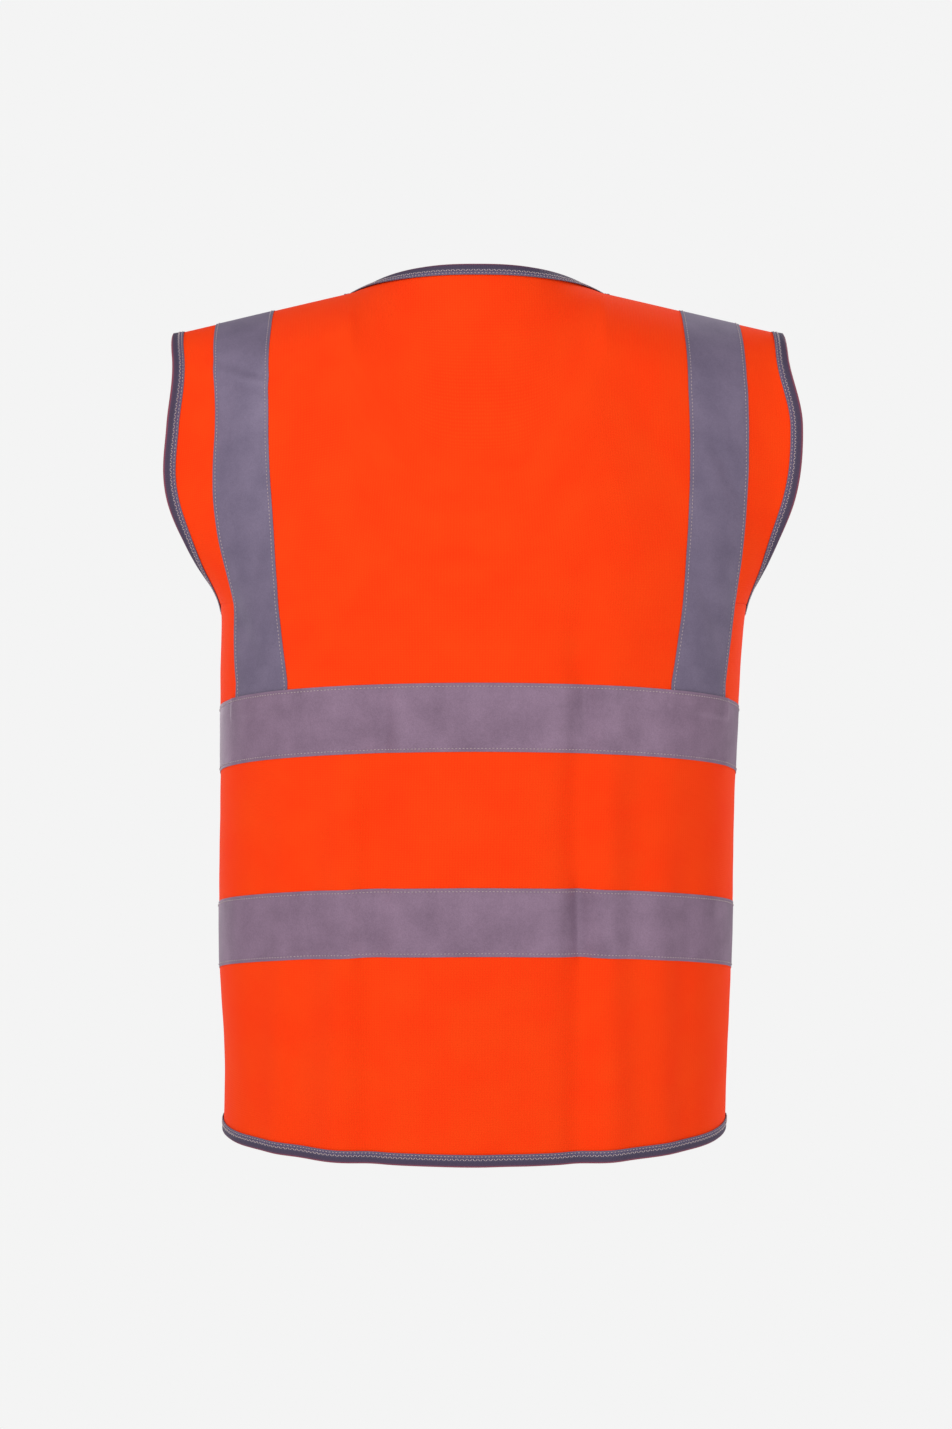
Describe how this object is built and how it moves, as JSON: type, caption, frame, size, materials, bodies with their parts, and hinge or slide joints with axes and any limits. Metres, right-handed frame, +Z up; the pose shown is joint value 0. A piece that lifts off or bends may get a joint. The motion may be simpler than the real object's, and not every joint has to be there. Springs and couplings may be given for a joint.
{
  "type": "high visibility vest",
  "caption": "Sleeveless safety waistcoat of fluorescent cloth with bound edges, reflective bands round the body and over the shoulders, and two lapped fronts that open.",
  "frame": {"origin": "neck base of the garment as worn, midway between the two shoulder points of the neck opening", "axes": "+Z up, +X to the wearer's left, +Y out of the wearer's back, so the fronts face -Y"},
  "size_m": [0.4872, 0.252, 0.6642],
  "materials": {
    "fluorescent_cloth": "fluorescent red-orange polyester knit, matt",
    "reflective_tape": "grey retroreflective glass-bead tape, low sheen",
    "edge_binding": "dark slate woven polyester binding",
    "hook_and_loop": "dark grey hook and loop tape",
    "woven_label": "white woven label, blank"
  },
  "bodies": {
    "vest": {"back_hem_binding": "edge_binding", "back_lower_band": "reflective_tape", "back_panel": "fluorescent_cloth", "back_upper_band": "reflective_tape", "care_label": "woven_label", "left_armhole_binding": "edge_binding", "left_brace_tape": "reflective_tape", "left_front_panel": "fluorescent_cloth", "left_shoulder_seam": "fluorescent_cloth", "left_side_hem_binding": "edge_binding", "left_side_lower_band": "reflective_tape", "left_side_seam": "fluorescent_cloth", "left_side_upper_band": "reflective_tape", "neck_binding": "edge_binding", "right_armhole_binding": "edge_binding", "right_brace_tape": "reflective_tape", "right_front_panel": "fluorescent_cloth", "right_shoulder_seam": "fluorescent_cloth", "right_side_hem_binding": "edge_binding", "right_side_lower_band": "reflective_tape", "right_side_seam": "fluorescent_cloth", "right_side_upper_band": "reflective_tape", "size_label": "woven_label"},
    "left_flap": {"hook_patch_1": "hook_and_loop", "hook_patch_2": "hook_and_loop", "hook_patch_3": "hook_and_loop", "hook_patch_4": "hook_and_loop", "left_flap_hem_binding": "edge_binding", "left_flap_lower_band": "reflective_tape", "left_flap_upper_band": "reflective_tape", "left_front_edge_binding": "edge_binding", "left_front_flap": "fluorescent_cloth"},
    "right_flap": {"loop_patch_1": "hook_and_loop", "loop_patch_2": "hook_and_loop", "loop_patch_3": "hook_and_loop", "loop_patch_4": "hook_and_loop", "right_flap_hem_binding": "edge_binding", "right_flap_lower_band": "reflective_tape", "right_flap_upper_band": "reflective_tape", "right_front_edge_binding": "edge_binding", "right_front_flap": "fluorescent_cloth"}
  },
  "joints": [
    {"name": "left_front_fold", "type": "hinge", "parent": "vest", "child": "left_flap", "pos_m": [0.0804, -0.103, -0.08], "axis": [-0.1212, -0.0174, 0.9925], "range_deg": [0, 120]},
    {"name": "right_front_fold", "type": "hinge", "parent": "vest", "child": "right_flap", "pos_m": [-0.0804, -0.103, -0.08], "axis": [-0.1212, 0.0174, -0.9925], "range_deg": [0, 78]}
  ],
  "couplings": [
    {"joint": "right_front_fold", "follows": "left_front_fold", "ratio": 0.65}
  ]
}
